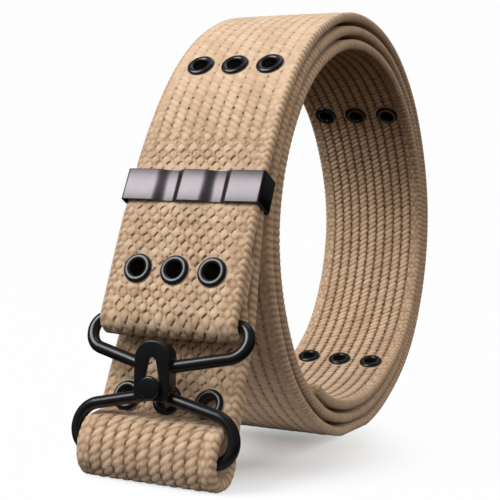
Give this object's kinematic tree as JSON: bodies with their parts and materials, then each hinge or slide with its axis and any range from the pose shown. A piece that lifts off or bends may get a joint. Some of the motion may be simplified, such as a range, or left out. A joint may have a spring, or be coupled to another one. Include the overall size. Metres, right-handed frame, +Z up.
{
  "type": "army belt",
  "caption": "Wide khaki cotton webbing army belt coiled on its edge, with rows of black eyelets, a channelled gunmetal keeper and a fastened wire hook buckle.",
  "frame": {"origin": "on the floor, under the middle of the whole belt's box", "axes": "+X across the webbing, +Y from the buckle towards the back of the coil, +Z up"},
  "size_m": [0.0704, 0.2742, 0.1977],
  "materials": {
    "webbing": "thick khaki cotton webbing in a coarse knobbly basket weave with smoother selvages",
    "black_metal": "satin black enamel on steel, with soft highlights on rounded edges",
    "gunmetal": "glossy dark gunmetal plating with a faint mauve cast"
  },
  "bodies": {
    "root": {"strap": "webbing", "strap_lower": "webbing", "keeper": "gunmetal", "hook_loop": "black_metal", "stud_loop": "black_metal", "eyelet_lower_front_1": "black_metal", "eyelet_lower_front_2": "black_metal", "eyelet_lower_front_3": "black_metal", "eyelet_upper_front_1": "black_metal", "eyelet_upper_front_2": "black_metal", "eyelet_upper_front_3": "black_metal", "eyelet_buckle_1": "black_metal", "eyelet_buckle_2": "black_metal", "eyelet_buckle_3": "black_metal", "eyelet_top_back_1": "black_metal", "eyelet_top_back_2": "black_metal", "eyelet_top_back_3": "black_metal", "eyelet_low_back_1": "black_metal", "eyelet_low_back_2": "black_metal", "eyelet_low_back_3": "black_metal", "eyelet_inner_high_1": "black_metal", "eyelet_inner_high_2": "black_metal", "eyelet_inner_high_3": "black_metal", "eyelet_inner_low_1": "black_metal", "eyelet_inner_low_2": "black_metal", "eyelet_inner_low_3": "black_metal"}
  },
  "joints": []
}
